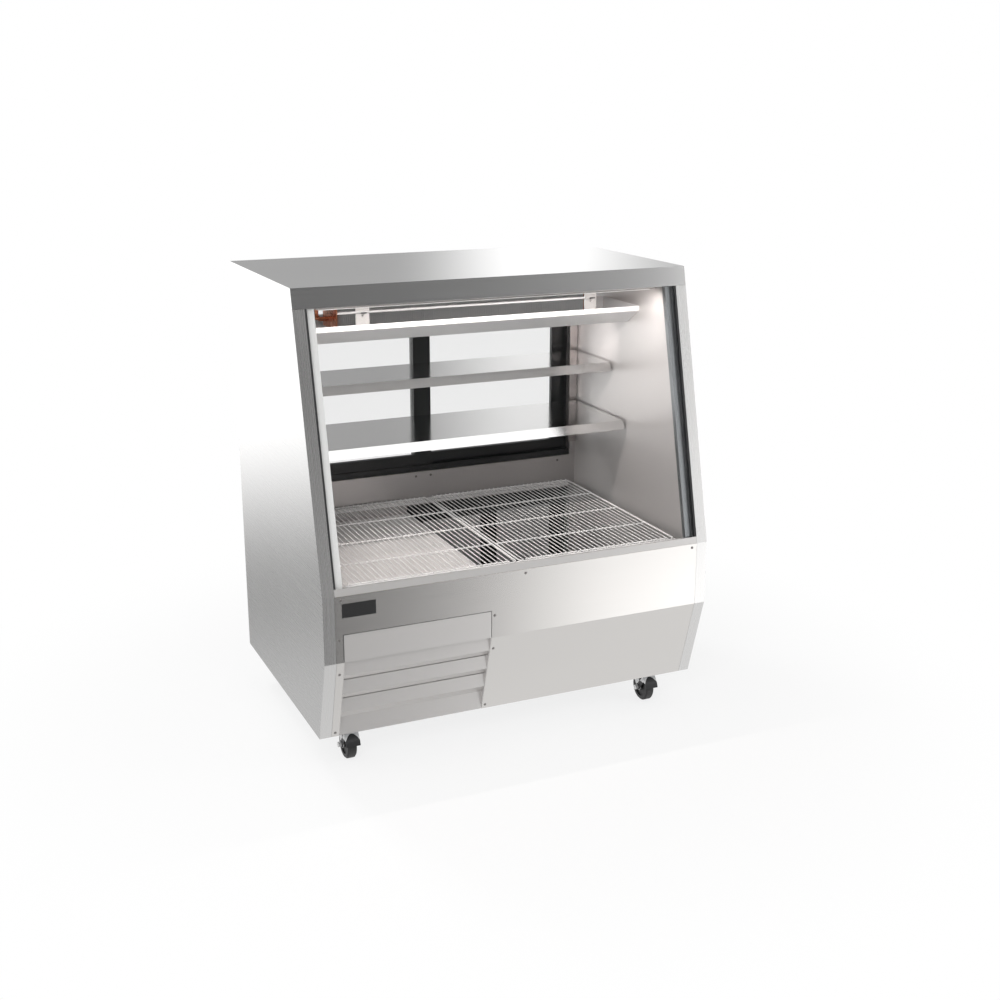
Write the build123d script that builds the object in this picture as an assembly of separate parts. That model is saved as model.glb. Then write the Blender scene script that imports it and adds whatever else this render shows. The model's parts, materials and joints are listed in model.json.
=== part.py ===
from build123d import *
import os
from math import atan, cos, radians, sin, tau

# A refrigerated deli display case on four casters. The case is seen from its front
# along +Y, with +X to its right and +Z up. The origin is on the floor, below the
# middle of the case. All sizes are in millimetres.

# Driving sizes of the case
width = 1219.0
depth = 856.0
case_height = 1264.0
caster_height = 116.0
top_depth = 664.0
sill_height = 450.0
kink_height = 255.0
toe_inset = 75.5
cap_height = 55.5
flange_width = 34.5
sheet = 1.2
seam = 0.5

# Walls and the spaces inside
side_wall = 42.5
rear_wall = 53.8
front_wall = 60.0
ceiling_drop = 56.0
deck_height = 400.0
deck_thickness = 59.0
well_floor_height = 60.0
machine_width = 503.0
divider_thickness = 50.0
liner = 1.0

# Front glass and its edging
glass_inset = 3.0
glass_thickness = 6.0
gasket_width = 6.0
gasket_depth = 15.0
gasket_bite = 3.0
post_width = 30.0
post_depth = 16.0
sill_band = 20.0
glass_foot = 3.5
glass_head = 14.0

# Front panel and the louvre grille
grille_side_inset = 57.5
grille_end_inset = 6.0
grille_top = 337.0
grille_flange = 20.0
louvre_pitch = 64.0
louvre_first_foot = 211.0
louvre_rows = 4
louvre_face = 42.0
louvre_return_in = 27.0
louvre_return_down = 28.0
cheek_depth = 36.0

# Rear frame, doors and tracks
jamb_width = 20.0
upper_opening_low = 540.0
upper_opening_drop = 38.0
storage_opening_low = 92.0
storage_opening_high = 425.0
track_height = 20.0
track_lip = 3.0
groove_width = 15.0
groove_depth = 14.0
door_thickness = 14.0
door_float = 0.3
door_lift = 8.0
door_overlap = 60.0
door_side_gap = 0.5
stile_width = 60.0
rail_height = 50.0
upper_glass_thickness = 5.0
storage_panel_thickness = 8.0
pane_bite = 5.0
pull_length = 140.0
pull_width = 22.0
pull_depth = 5.0

# Shelves, brackets and pilasters
shelf_side_gap = 9.0
shelf_rear_gap = 11.0
upper_shelf_height = 914.0
upper_shelf_depth = 233.0
lower_shelf_height = 739.0
lower_shelf_depth = 330.0
shelf_lip = 26.0
shelf_lip_lean = 18.0
shelf_return = 12.0
shelf_rear_lip = 16.0
bracket_thickness = 2.5
bracket_side_gap = 16.0
bracket_root = 72.0
bracket_nose = 30.0
bracket_share = 0.96
hook_depth = 6.0
hook_height = 12.0
pilaster_low = 590.0
pilaster_width = 28.0
pilaster_depth = 12.0
pilaster_side_gap = 2.0
pilaster_wall = 1.5
slot_pitch = 25.0
slot_height = 14.0
slot_width = 4.0

# Wire racks and their rails
rack_top = 455.0
rack_rear_gap = 5.0
rack_front_gap = 3.0
rack_left_gap = 33.0
rack_right_gap = 27.0
rack_join = 9.0
rack_gap = 6.0
rack_corner = 26.0
frame_wire = 5.0
thin_wire = 3.0
thin_pitch = 25.0
cross_wires = 3
rail_leg = 18.0
rail_end_gap = 2.0

# Cooling coil, drip pan and light
coil_left_gap = 157.0
coil_right_gap = 172.0
coil_front = 440.0
coil_depth = 130.0
coil_drop = 16.0
coil_height = 92.0
fin_count = 24
fin_thickness = 1.0
tube_radius = 6.0
tube_rows = 2
end_plate = 2.5
pan_front = 477.0
pan_lip_height = 15.0
pan_rise = 45.0
pan_below_coil = 39.0
pan_slope = 70.0
pan_depth = 235.0
pan_end_gap = 0.3
hanger_left_inset = 76.0
hanger_right_reach = 16.0
hanger_width = 42.0
drain_radius = 9.0
drain_drop = 137.0
bend_reach = 30.0
hanger_step = 18.0
light_end_gap = 37.0
light_width = 34.0
light_thickness = 12.0
light_setback = 42.0
lens_radius = 9.0

# Cooling unit below the deck
unit_side_gap = 237.0
compressor_radius = 82.0
compressor_height = 190.0
compressor_setback = 228.0
condenser_width = 330.0
condenser_height = 250.0
condenser_depth = 60.0
condenser_setback = 128.0
shroud_depth = 36.0
shroud_wall = 2.0
fan_radius = 105.0
fan_blades = 5
fan_hub_radius = 24.0
fan_gap = 4.0
fan_depth = 30.0
fan_pitch = 28.0
fan_chord = 62.0
shaft_radius = 4.0
foot_height = 12.0
condenser_grooves = 8
groove_bite = 6.0
motor_radius = 38.0
motor_length = 62.0
line_radius = 6.0
suction_port = 150.0
liquid_port = 175.0
chase_gap = 2.0

# Rear service panel, switch, knob and cord gland
service_recess = 32.0
vent_rows = 7
vent_pitch = 26.0
vent_width = 300.0
vent_height = 9.0
vent_hood = 7.0
knob_radius = 19.0
knob_depth = 16.0
knob_bore = 4.0
knob_inset = 76.0
knob_height = 300.0
switch_z = 300.0
switch_gap = 0.8
switch_tilt = 8.0
switch_inset = 146.0
switch_width = 22.0
switch_height = 30.0
switch_depth = 10.0
switch_rise = 4.0
gland_inset = 87.0
gland_height = 60.0
gland_radius = 13.0
gland_bore = 6.0
gland_length = 24.0
gland_collar = 4.0

# Casters
caster_side_inset = 110.5
caster_front_inset = 191.0
caster_rear_inset = 98.0
caster_trail = 30.0
wheel_radius = 44.5
wheel_width = 28.0
axle_radius = 5.0
axle_clearance = 0.05
plate_length = 95.0
plate_breadth = 67.0
plate_thickness = 3.0
bolt_spacing_long = 76.0
bolt_spacing_short = 48.0
bolt_hole_radius = 4.5
hub_dish = 4.0
race_radius = 26.0
race_height = 9.0
race_gap = 0.3
fork_thickness = 3.0
fork_clearance = 2.0
fork_tip = 12.0
pedal_thickness = 3.5
pedal_gap = 6.0
pedal_arm = 2.5
pedal_low = 12.0
pedal_high = 84.0
nut_size = 17.0
nut_length = 9.0

# Places worked out from the sizes above
half = width / 2
back_y = depth / 2
front_y = -depth / 2
base_z = caster_height
top_z = base_z + case_height
sill_z = base_z + sill_height
kink_z = base_z + kink_height
top_front_y = back_y - top_depth
toe_y = front_y + toe_inset
seam_z = top_z - cap_height
inner_half = half - side_wall
flange_x = half - flange_width
skin_x = half - sheet
rear_skin_y = back_y - sheet
inner_rear_y = rear_skin_y - rear_wall
ceiling_z = top_z - ceiling_drop
deck_z = base_z + deck_height
deck_under_z = deck_z - deck_thickness
well_floor_z = base_z + well_floor_height
well_left = machine_width - inner_half
machine_right = well_left - divider_thickness
upper_opening_z = ceiling_z - upper_opening_drop
opening_half = inner_half - jamb_width
shelf_half = inner_half - shelf_side_gap
bracket_x = inner_half - bracket_side_gap
pilaster_right = inner_half - pilaster_side_gap
grille_left = grille_side_inset - half
grille_right = machine_right + grille_end_inset
rack_left = rack_left_gap - inner_half
rack_right = inner_half - rack_right_gap
coil_left = coil_left_gap - inner_half
coil_right = inner_half - coil_right_gap
coil_high_z = ceiling_z - coil_drop
coil_low_z = coil_high_z - coil_height
pan_low_z = coil_low_z - pan_below_coil
pan_lip_low_z = pan_low_z + pan_rise
hanger_left = coil_left + hanger_left_inset
hanger_right = coil_right + hanger_right_reach
light_length = 2 * (inner_half - light_end_gap)
unit_x = unit_side_gap - inner_half
compressor_y = back_y - compressor_setback
condenser_front = front_y + condenser_setback
knob_x = machine_right - knob_inset
switch_x = machine_right - switch_inset
gland_x = gland_inset - inner_half
caster_x = half - caster_side_inset
caster_front_y = front_y + caster_front_inset
caster_rear_y = back_y - caster_rear_inset
drain_end = deck_under_z - drain_drop
foam_front = gasket_depth + post_depth
front_foam_inset = front_wall - sheet - liner
glass_half = flange_x - gasket_width + gasket_bite
service_y = rear_skin_y - service_recess
pan_top_z = base_z + 2 * sheet
track_y = (inner_rear_y + rear_skin_y) / 2
track_width = 2 * groove_width + 3 * track_lip
coil_front_y = back_y - coil_front
coil_tube_y = coil_front_y + coil_depth / 2
pan_front_y = back_y - pan_front
pilaster_face = inner_rear_y - pilaster_depth
shelf_rear_y = pilaster_face - shelf_rear_gap
fan_y = condenser_front + condenser_depth + shroud_depth - fan_depth / 2
fan_z = pan_top_z + condenser_height / 2
suction_end = pan_top_z + suction_port
liquid_end = pan_top_z + liquid_port
rack_z = base_z + rack_top
rack_depth = inner_rear_y - rack_rear_gap - front_y - front_wall - rack_front_gap
lean = (top_front_y - front_y) / (top_z - sill_z)
lean_stretch = 1 / cos(atan(lean))
tuck = toe_inset / kink_height
tuck_stretch = 1 / cos(atan(tuck))


def front_at(z, inset=0.0):
    """Where the front lies at a height, moved in by an inset square to its face."""
    if z >= sill_z:
        return front_y + (z - sill_z) * lean + inset * lean_stretch
    if z >= kink_z:
        return front_y + inset
    return front_y + (kink_z - z) * tuck + inset * tuck_stretch


def block(x_low, x_high, y_low, y_high, z_low, z_high):
    """A box between two corners."""
    middle = Pos((x_low + x_high) / 2, (y_low + y_high) / 2, (z_low + z_high) / 2)
    return middle * Box(x_high - x_low, y_high - y_low, z_high - z_low)


def run(face, x_low, x_high):
    """A profile of (y, z) points, run along the case's width."""
    return extrude(Plane.YZ.offset(x_low) * face, x_high - x_low, dir=(1, 0, 0))


def profile(*points):
    return make_face(Polyline(*points, close=True))


def bent_sheet(points, x_low, x_high, thickness=sheet, side=Side.LEFT):
    """A folded sheet that follows a path of (y, z) points, thick to one side of it."""
    path = Polyline(*points)
    outline = offset(path, amount=thickness, side=side, kind=Kind.INTERSECTION)
    return run(make_face(outline), x_low, x_high)


def case_face(inset=0.0):
    """The case's outline from its side, drawn in by an inset square to each edge."""
    face = profile(
        (back_y, base_z),
        (back_y, top_z),
        (top_front_y, top_z),
        (front_y, sill_z),
        (front_y, kink_z),
        (toe_y, base_z),
    )
    if inset:
        face = offset(face, amount=-inset, kind=Kind.INTERSECTION)
    return face


def wall_face(inset=0.0):
    """The same outline with its front carried straight up, for the lower walls."""
    face = profile(
        (back_y, base_z),
        (back_y, top_z),
        (front_y, top_z),
        (front_y, kink_z),
        (toe_y, base_z),
    )
    return offset(face, amount=-inset, kind=Kind.INTERSECTION)


def slant_board(outer_inset, inner_inset, z_low, z_high, x_low, x_high):
    """A board that lies along the slanted front, between two insets and two heights."""
    face = profile(
        (front_at(z_low, outer_inset), z_low),
        (front_at(z_high, outer_inset), z_high),
        (front_at(z_high, inner_inset), z_high),
        (front_at(z_low, inner_inset), z_low),
    )
    return run(face, x_low, x_high)


def below(z):
    return block(-width, width, -depth, depth, -depth, z)


def above(z):
    return block(-width, width, -depth, depth, z, 2 * top_z)


def cylinder_x(radius, x_low, x_high, y, z):
    middle = Pos((x_low + x_high) / 2, y, z) * Rot(0, 90, 0)
    return middle * Cylinder(radius, x_high - x_low)


def cylinder_y(radius, y_low, y_high, x, z):
    middle = Pos(x, (y_low + y_high) / 2, z) * Rot(90, 0, 0)
    return middle * Cylinder(radius, y_high - y_low)


def cylinder_z(radius, z_low, z_high, x, y):
    return Pos(x, y, (z_low + z_high) / 2) * Cylinder(radius, z_high - z_low)


def mirrored(solid):
    return mirror(solid, about=Plane.YZ)


# Outer skin


def make_right_end_panel():
    """A side skin with a flange that turns in all round, below the cap."""
    plate = run(case_face(), skin_x, half)
    rim = run(case_face(), flange_x, half) - run(case_face(sheet), flange_x, half)
    return (plate + rim) & below(seam_z - seam)


def make_top_cap():
    """A lid whose four sides turn down to the seam, slanted at the front."""
    outer = run(case_face(), -half, half)
    inner = run(case_face(sheet), -skin_x, skin_x)
    return (outer - inner) & above(seam_z)


def make_front_panel():
    """A sheet from the sill down to the toe, with a notch for the grille."""
    panel_half = flange_x - seam
    shell = run(case_face(), -panel_half, panel_half)
    shell -= run(case_face(sheet), -panel_half, panel_half)
    toe_lip = toe_y + grille_flange
    keep = block(-half, half, front_y, toe_lip, base_z, sill_z - seam)
    notch = block(
        grille_left, grille_right, -depth, depth, 0, base_z + grille_top
    )
    return (shell & keep) - notch


def louvre_foot(row):
    """How high above the floor the lower edge of a louvre lies."""
    if row == louvre_rows - 1:
        return base_z + sheet
    return base_z + louvre_first_foot - row * louvre_pitch


def make_louvre(row, x_low, x_high):
    """One upright face with a lip that folds in and down behind the next face."""
    foot = louvre_foot(row)
    if row == 0:
        head = kink_z
    else:
        head = louvre_foot(row - 1) - (louvre_pitch - louvre_face)
    face_y = front_at(foot)
    path = [(face_y, head), (face_y, foot)]
    if row < louvre_rows - 1:
        path.append((face_y + louvre_return_in, foot - louvre_return_down))
    return bent_sheet(path, x_low, x_high)


def make_louvre_grille():
    """A framed set of louvres that fills the notch in the front panel."""
    x_low = grille_left + seam
    x_high = grille_right - seam
    top = base_z + grille_top - seam
    grille = bent_sheet(
        [
            (front_y + 2 * sheet + seam, top),
            (front_y, top),
            (front_y, kink_z),
            (front_at(louvre_foot(0)) + sheet, kink_z),
        ],
        x_low,
        x_high,
    )
    for row in range(louvre_rows):
        grille += make_louvre(row, x_low, x_high)
    cheek_low = base_z + rail_leg + sheet
    cheek = profile(
        (front_at(kink_z), kink_z),
        (front_at(cheek_low), cheek_low),
        (front_at(cheek_low, cheek_depth), cheek_low),
        (front_y + cheek_depth, kink_z),
    )
    grille += run(cheek, x_low, x_low + sheet)
    grille += run(cheek, x_high - sheet, x_high)
    backing = run(case_face(sheet + seam), x_low - grille_flange, x_high + grille_flange)
    backing -= run(case_face(2 * sheet + seam), -half, half)
    backing &= block(-half, half, front_y, front_y + toe_inset, base_z + sheet, top + grille_flange)
    window = block(x_low + sheet, x_high - sheet, -depth, depth, 0, top - grille_flange)
    stiles = backing - window
    return grille + stiles


def make_front_sill():
    """The band below the glass, and the ledge behind it that caps the front wall."""
    band_top = sill_z + sill_band
    inner_y = front_y + front_wall
    band = slant_board(0, sheet, sill_z, band_top, -flange_x + seam, flange_x - seam)
    ledge = block(-inner_half, inner_half, front_y + sheet, inner_y, sill_z, sill_z + sheet)
    drop_low = rack_z - 2 * rail_leg
    drop = block(-inner_half, inner_half, inner_y - sheet, inner_y, drop_low, sill_z)
    return band + ledge + drop


def make_base_pan():
    """The floor of the case, turned up at its front."""
    front = front_at(pan_top_z, 3 * sheet + 2 * seam)
    floor = block(-skin_x, skin_x, front, rear_skin_y, base_z + sheet, pan_top_z)
    lip_top = base_z + rail_leg
    return floor + block(-skin_x, skin_x, front, front + sheet, base_z + sheet, lip_top)


# Insulated walls and their liners


def make_insulation():
    """Foam boards for the sides, front, ceiling, deck, divider and well floor."""
    tubes = tube_chase()
    side = run(case_face(foam_front), inner_half + liner, skin_x)
    side &= block(0, half, -depth, inner_rear_y, pan_top_z, ceiling_z + liner)
    left_side = mirrored(side) & above(deck_z - liner)
    wall = run(wall_face(sheet), -inner_half, inner_half)
    wall -= run(wall_face(front_foam_inset), -half, half)
    ceiling = run(case_face(sheet), -skin_x, skin_x) & above(ceiling_z + liner)
    ceiling -= slant_board(0, foam_front, sill_z, seam_z + glass_head + seam, -half, half)
    inside = run(wall_face(front_foam_inset), -half, half)
    edge = well_left - liner
    deck = block(-skin_x, edge, -depth, inner_rear_y, deck_under_z, deck_z - liner)
    divider = block(machine_right, edge, -depth, inner_rear_y, pan_top_z, deck_under_z)
    floor = block(edge, inner_half, -depth, inner_rear_y, pan_top_z, well_floor_z - liner)
    left_wall_low = base_z + grille_top + grille_flange + seam
    wall_low = base_z + rail_leg + sheet
    return [
        side,
        left_side - tubes,
        wall & block(well_left, half, -depth, 0, kink_z, sill_z),
        wall & block(well_left, half, -depth, 0, wall_low, kink_z),
        wall & block(-half, well_left, -depth, 0, left_wall_low, sill_z),
        ceiling,
        (deck & inside) - tubes,
        divider & inside,
        floor & inside,
    ]


def make_liner_panels():
    """Thin skins on the inside of both side walls and below the ceiling."""
    side = run(case_face(foam_front), inner_half, inner_half + liner)
    right = side & block(0, half, -depth, inner_rear_y, pan_top_z, ceiling_z)
    tubes = make_drain_tube() + suction_line() + liquid_line()
    left = (mirrored(right) & above(deck_z - liner)) - tubes
    ceiling = run(case_face(foam_front), -inner_half, inner_half)
    ceiling &= block(-half, half, -depth, inner_rear_y, ceiling_z, ceiling_z + liner)
    return [right, left, ceiling]


def make_tank_liner():
    """One folded sheet: the deck, the step down beside it and the floor of the well."""
    deck = block(-inner_half, well_left, -depth, inner_rear_y, deck_z - liner, deck_z)
    step = block(well_left - liner, well_left, -depth, inner_rear_y, well_floor_z - liner, deck_z)
    floor = block(
        well_left, inner_half, -depth, inner_rear_y, well_floor_z - liner, well_floor_z
    )
    return (deck + step + floor) & run(wall_face(front_foam_inset + liner), -half, half)


def make_front_liner():
    """The inner skin of the front wall, folded where the front tucks under."""
    skin = run(wall_face(front_foam_inset), -inner_half, inner_half)
    skin -= run(wall_face(front_foam_inset + liner), -half, half)
    right = skin & block(well_left - liner, half, -depth, 0, well_floor_z - liner, sill_z)
    left = skin & block(-half, well_left, -depth, 0, deck_z - liner, sill_z)
    return right + left


# Glass and its edging


def make_front_glass():
    foot = sill_z + glass_foot
    head = seam_z + glass_head
    inner = glass_inset + glass_thickness
    return slant_board(glass_inset, inner, foot, head, -glass_half, glass_half)


def make_glass_gaskets():
    """A dark channel that grips each upright edge of the glass."""
    foot = sill_z + sheet
    head = seam_z + glass_head
    inner_x = flange_x - gasket_width
    strip = slant_board(sheet, gasket_depth, foot, head, inner_x, flange_x)
    right = strip - make_front_glass()
    return [right, mirrored(right)]


def make_glass_posts():
    """A metal channel behind each upright edge of the glass."""
    inner_x = flange_x - post_width
    foot = sill_z + sheet
    post = slant_board(gasket_depth, foam_front, foot, ceiling_z, inner_x, flange_x)
    post -= slant_board(
        gasket_depth + sheet, foam_front, foot, ceiling_z, inner_x + sheet, flange_x - sheet
    )
    return [post, mirrored(post)]


# Rear frame, tracks and sliding doors


def rear_member(x_low, x_high, z_low, z_high):
    return block(x_low, x_high, inner_rear_y, rear_skin_y, z_low, z_high)


def make_rear_frame():
    """Posts and rails around the upper, storage and service openings."""
    upper_low = base_z + upper_opening_low
    upper_high = upper_opening_z
    storage_low = base_z + storage_opening_low
    storage_high = base_z + storage_opening_high
    top = ceiling_z + liner
    return [
        rear_member(-skin_x, -opening_half, pan_top_z, top),
        rear_member(opening_half, skin_x, pan_top_z, top),
        rear_member(-opening_half, opening_half, upper_high, top),
        rear_member(-opening_half, opening_half, storage_high, upper_low),
        rear_member(-opening_half, well_left, deck_under_z, storage_high),
        rear_member(machine_right, well_left, pan_top_z, deck_under_z),
        rear_member(well_left, opening_half, pan_top_z, storage_low),
    ]


def groove_y(side):
    """The middle of a groove: side -1 is the inner one and side 1 the outer one."""
    return track_y + side * (groove_width + track_lip) / 2


def make_track(x_low, x_high, z_low, mouth):
    """A double channel whose mouth faces up (1) or down (-1)."""
    z_high = z_low + track_height
    reach = track_width / 2
    track = block(x_low, x_high, track_y - reach, track_y + reach, z_low, z_high)
    for side in (-1, 1):
        y = groove_y(side)
        if mouth > 0:
            cut_low, cut_high = z_high - groove_depth, z_high
        else:
            cut_low, cut_high = z_low, z_low + groove_depth
        cut = block(x_low, x_high, y - groove_width / 2, y + groove_width / 2, cut_low, cut_high)
        track -= cut
    return track


def track_pair(x_low, x_high, z_low, z_high):
    lower = make_track(x_low, x_high, z_low, 1)
    upper = make_track(x_low, x_high, z_high - track_height, -1)
    return [lower, upper]


def make_door_tracks():
    upper = track_pair(
        -opening_half, opening_half, base_z + upper_opening_low, upper_opening_z
    )
    storage = track_pair(
        well_left, opening_half, base_z + storage_opening_low, base_z + storage_opening_high
    )
    return upper + storage


def make_door(x_low, x_high, opening_low, opening_high, side, pane_thickness):
    """Two stiles and two rails around a pane. Returns the frame's bars and the pane."""
    y = groove_y(side)
    floor = track_height - groove_depth
    z_low = opening_low + floor + door_float
    z_high = opening_high - floor - door_lift
    reach = door_thickness / 2
    pane = block(
        x_low + stile_width - pane_bite,
        x_high - stile_width + pane_bite,
        y - pane_thickness / 2,
        y + pane_thickness / 2,
        z_low + rail_height - pane_bite,
        z_high - rail_height + pane_bite,
    )
    left = block(x_low, x_low + stile_width, y - reach, y + reach, z_low, z_high)
    right = block(x_high - stile_width, x_high, y - reach, y + reach, z_low, z_high)
    rail_left = x_low + stile_width
    rail_right = x_high - stile_width
    lower = block(rail_left, rail_right, y - reach, y + reach, z_low, z_low + rail_height)
    upper = block(rail_left, rail_right, y - reach, y + reach, z_high - rail_height, z_high)
    pull_x = x_low + stile_width / 2 if side < 0 else x_high - stile_width / 2
    pull_z = (z_low + z_high) / 2
    pull = block(
        pull_x - pull_width / 2,
        pull_x + pull_width / 2,
        y + reach - pull_depth,
        y + reach,
        pull_z - pull_length / 2,
        pull_z + pull_length / 2,
    )
    bars = [left - pull - pane, right - pull - pane, lower - pane, upper - pane]
    return bars, pane


def make_door_pair(x_low, x_high, opening_low, opening_high, pane_thickness):
    """The left door runs in the inner groove and the right door in the outer one."""
    middle = (x_low + x_high) / 2
    overlap = door_overlap / 2
    left = make_door(
        x_low + door_side_gap, middle + overlap, opening_low, opening_high, -1, pane_thickness
    )
    right = make_door(
        middle - overlap, x_high - door_side_gap, opening_low, opening_high, 1, pane_thickness
    )
    return left, right


# Machine bay: service panel and what is on it


def make_service_panel():
    """The vented panel at the back of the machine bay, set into the rear frame."""
    panel = block(
        -opening_half, machine_right, service_y, service_y + sheet, pan_top_z, deck_under_z
    )
    vent_x = (-opening_half + machine_right) / 2
    vent_low = base_z + gland_height + 2 * gland_radius
    for row in range(vent_rows):
        z = vent_low + row * vent_pitch
        x_low = vent_x - vent_width / 2
        x_high = vent_x + vent_width / 2
        panel -= block(x_low, x_high, service_y - 1, service_y + 2 * sheet, z, z + vent_height)
        hood = profile(
            (service_y, z + vent_height),
            (service_y, z + vent_height + sheet),
            (service_y - vent_hood, z + sheet),
            (service_y - vent_hood, z),
        )
        panel += run(hood, x_low, x_high)
    knob_hole = knob_bore + axle_clearance
    reach = (service_y - 1, service_y + 2 * sheet)
    panel -= cylinder_y(knob_hole, *reach, knob_x, base_z + knob_height)
    panel -= cylinder_y(gland_radius, *reach, gland_x, base_z + gland_height)
    panel -= block(
        switch_x - switch_width / 2 - switch_gap,
        switch_x + switch_width / 2 + switch_gap,
        *reach,
        base_z + switch_z - switch_height / 2 - switch_gap,
        base_z + switch_z + switch_height / 2 + switch_gap,
    )
    return panel


def make_cord_gland():
    """A bushing with a through bore for the supply cord."""
    inner_end = service_y - gland_length / 2
    outer_end = service_y + sheet + gland_length / 2
    z = base_z + gland_height
    body = cylinder_y(gland_radius, inner_end, outer_end, gland_x, z)
    collar = cylinder_y(gland_radius + gland_collar, service_y + sheet, service_y + 5 * sheet, gland_x, z)
    return body + collar - cylinder_y(gland_bore, inner_end, outer_end, gland_x, z)


def make_thermostat_knob():
    """A round knob with a grip bar, on a stem that passes through the panel."""
    z = base_z + knob_height
    face = service_y + sheet + door_float
    skirt = cylinder_y(knob_radius, face, face + knob_depth / 2, knob_x, z)
    grip = block(
        knob_x - knob_radius / 4,
        knob_x + knob_radius / 4,
        face,
        face + knob_depth,
        z - knob_radius * 0.9,
        z + knob_radius * 0.9,
    )
    stem = cylinder_y(knob_bore, service_y - knob_depth, face, knob_x, z)
    return skirt + grip + stem


def make_light_switch():
    """A rocker with two slanted faces, shown pressed at its lower end."""
    reach = switch_height / 2
    y = service_y + sheet / 2
    rocker = profile(
        (y - switch_depth / 2, -reach),
        (y - switch_depth / 2, reach),
        (y + switch_depth / 2 + switch_rise, reach),
        (y + switch_depth / 2, 0),
        (y + switch_depth / 2 + switch_rise, -reach),
    )
    solid = run(rocker, switch_x - switch_width / 2, switch_x + switch_width / 2)
    pivot = Axis((switch_x, y, 0), (1, 0, 0))
    return Pos(0, 0, base_z + switch_z) * solid.rotate(pivot, -switch_tilt)


def make_compressor():
    """A sealed can with a shoulder at each end, on a foot plate."""
    foot = pan_top_z + foot_height
    middle = foot + compressor_height / 2
    can = Pos(unit_x, compressor_y, middle) * Cylinder(compressor_radius, compressor_height)
    rims = can.edges().filter_by(GeomType.CIRCLE)
    can = chamfer(rims, compressor_radius / 3)
    reach = compressor_radius
    base = block(unit_x - reach, unit_x + reach, compressor_y - reach, compressor_y + reach,
                 pan_top_z, foot)
    return [can, base]


def make_condenser():
    """A finned block between two end plates, behind the louvre grille."""
    x_low = unit_x - condenser_width / 2
    x_high = unit_x + condenser_width / 2
    y_high = condenser_front + condenser_depth
    z_high = pan_top_z + condenser_height
    core = block(x_low, x_high, condenser_front, y_high, pan_top_z, z_high)
    for row in range(condenser_grooves):
        z = pan_top_z + (row + 1) * condenser_height / (condenser_grooves + 1)
        for y in (condenser_front, y_high - groove_bite):
            core -= block(x_low + end_plate, x_high - end_plate, y, y + groove_bite,
                          z - groove_bite, z + groove_bite)
    return core


def make_fan_shroud():
    """A box behind the condenser with a round mouth for the fan."""
    x_low = unit_x - condenser_width / 2
    x_high = unit_x + condenser_width / 2
    y_low = condenser_front + condenser_depth
    y_high = y_low + shroud_depth
    z_high = pan_top_z + condenser_height
    shroud = block(x_low, x_high, y_low, y_high, pan_top_z, z_high)
    shroud -= block(x_low + shroud_wall, x_high - shroud_wall, y_low, y_high - shroud_wall,
                    pan_top_z + shroud_wall, z_high - shroud_wall)
    mouth = fan_radius + fan_gap
    return shroud - cylinder_y(mouth, y_low, y_high, unit_x, fan_z)


def make_fan_motor():
    """A round motor behind the fan, held to the shroud by two straps."""
    y_low = fan_y + fan_depth / 2 + fan_gap
    y_high = y_low + motor_length
    motor = cylinder_y(motor_radius, y_low, y_high, unit_x, fan_z)
    reach = condenser_width / 2 - 2 * shroud_wall
    shroud_back = condenser_front + condenser_depth + shroud_depth
    strap_y = y_low + motor_length / 2
    for x in (-reach, reach):
        leg_low, leg_high = sorted((x, x - shroud_wall * (1 if x > 0 else -1)))
        motor += block(unit_x + leg_low, unit_x + leg_high, shroud_back, strap_y + shroud_wall,
                       fan_z - motor_radius / 3, fan_z + motor_radius / 3)
    motor += block(unit_x - reach, unit_x + reach, strap_y, strap_y + shroud_wall,
                   fan_z - motor_radius / 3, fan_z + motor_radius / 3)
    shaft_low = fan_y - fan_depth / 2
    return motor + cylinder_y(shaft_radius, shaft_low, y_low, unit_x, fan_z)


def make_fan_blade():
    """A hub with pitched blades, bored for the motor's shaft."""
    hub = cylinder_y(fan_hub_radius, fan_y - fan_depth / 2, fan_y + fan_depth / 2, unit_x, fan_z)
    fan = hub
    length = fan_radius - fan_hub_radius / 2
    for number in range(fan_blades):
        turn = Rot(0, 360 * number / fan_blades, 0)
        blade = Rot(0, 0, fan_pitch) * Box(fan_chord, sheet, length)
        blade = turn * Pos(0, 0, fan_hub_radius / 2 + length / 2) * blade
        fan += Pos(unit_x, fan_y, fan_z) * blade
    bore = shaft_radius + axle_clearance
    return fan - cylinder_y(bore, fan_y - fan_depth, fan_y + fan_depth, unit_x, fan_z)


# Tubes


def tube(points, radius, bend):
    """A round line along straight runs with one bend radius at each corner."""
    path = FilletPolyline(*points, radius=bend)
    start = Plane(origin=path @ 0, z_dir=path % 0)
    return sweep(start * Circle(radius), path)


def drain_y():
    return pan_front_y + pan_depth - 3 * drain_radius


def suction_y():
    return coil_front_y + coil_depth * 0.3


def liquid_y():
    return coil_front_y + coil_depth * 0.55


def make_drain_tube():
    """From the left end of the drip pan, down inside the side wall to the machine bay."""
    y = drain_y()
    z = pan_low_z + drain_radius + 2 * sheet
    wall_x = -(inner_half + skin_x) / 2
    points = [
        (-inner_half + pan_end_gap + sheet, y, z),
        (wall_x, y, z),
        (wall_x, y, drain_end),
    ]
    return tube(points, drain_radius, 1.5 * drain_radius)


def cooling_line(y, coil_z, radius, end_z):
    """A line from the coil's left end, down inside the side wall to the compressor."""
    wall_x = -(inner_half + skin_x) / 2
    points = [
        (coil_left - end_plate, y, coil_z),
        (wall_x, y, coil_z),
        (wall_x, y, end_z),
        (unit_x - compressor_radius / 2, y, end_z),
    ]
    return tube(points, radius, 2 * radius)


def suction_line():
    z = coil_high_z - 3 * tube_radius
    return cooling_line(suction_y(), z, line_radius, suction_end)


def liquid_line():
    z = coil_low_z + 5 * tube_radius
    return cooling_line(liquid_y(), z, line_radius * 0.7, liquid_end)


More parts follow.
